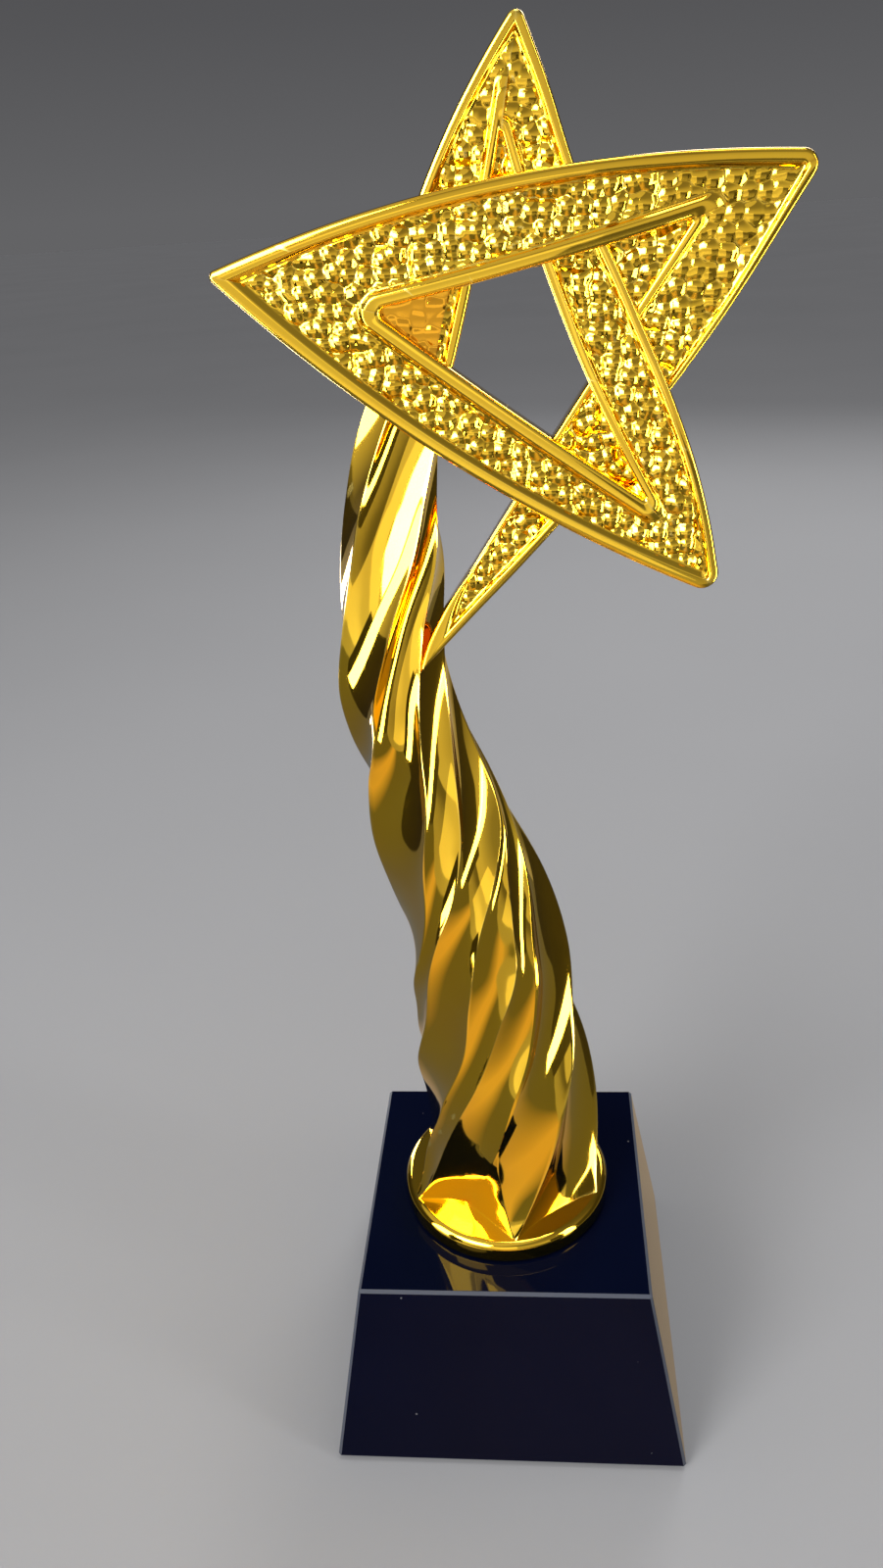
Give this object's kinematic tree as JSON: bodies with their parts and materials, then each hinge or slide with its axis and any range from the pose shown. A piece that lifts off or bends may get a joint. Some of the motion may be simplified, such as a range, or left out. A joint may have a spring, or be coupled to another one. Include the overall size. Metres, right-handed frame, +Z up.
{
  "type": "star trophy",
  "caption": "Award trophy: an interlaced five-pointed star of hammered, rimmed gold ribbons on a twisted fluted column, screwed to a tapered black glass block.",
  "frame": {"origin": "centre of the felt's underside, on the swivel axis of the figure", "axes": "+Z up, -Y towards the front, +X to the viewer's right, the way the star leans"},
  "size_m": [0.0954, 0.0798, 0.2844],
  "materials": {
    "black_glass": "polished, near-black navy optical glass with fine ground bevels",
    "mirror_gold": "mirror-bright gold plating; the star's fields are hammered, its rims and the column are smooth",
    "felt": "black self-adhesive felt",
    "clear_gasket": "thin dark rubber sheet",
    "black_rubber": "matt",
    "zinc_steel": "bright zinc",
    "bare_brass": "turned"
  },
  "bodies": {
    "base": {"crystal_base": "black_glass", "base_felt": "felt", "foot_gasket": "clear_gasket", "rubber_washer": "black_rubber", "steel_washer": "zinc_steel", "lock_washer": "zinc_steel"},
    "figure": {"clamp_bolt": "zinc_steel", "threaded_insert": "bare_brass", "foot_disc": "mirror_gold", "twisted_column": "mirror_gold", "column_rod": "zinc_steel", "column_pins": "zinc_steel", "crossing_pins": "zinc_steel", "star_top_arm": "mirror_gold", "star_lower_arm": "mirror_gold", "star_right_arm": "mirror_gold", "star_stem_arm": "mirror_gold", "star_left_arm": "mirror_gold", "star_top_web": "mirror_gold", "star_right_web": "mirror_gold", "star_low_web": "mirror_gold"}
  },
  "joints": [
    {"name": "figure_swivel", "type": "hinge", "parent": "base", "child": "figure", "pos_m": [0, 0, 0.0479], "axis": [0, 0, 1], "continuous": true}
  ]
}
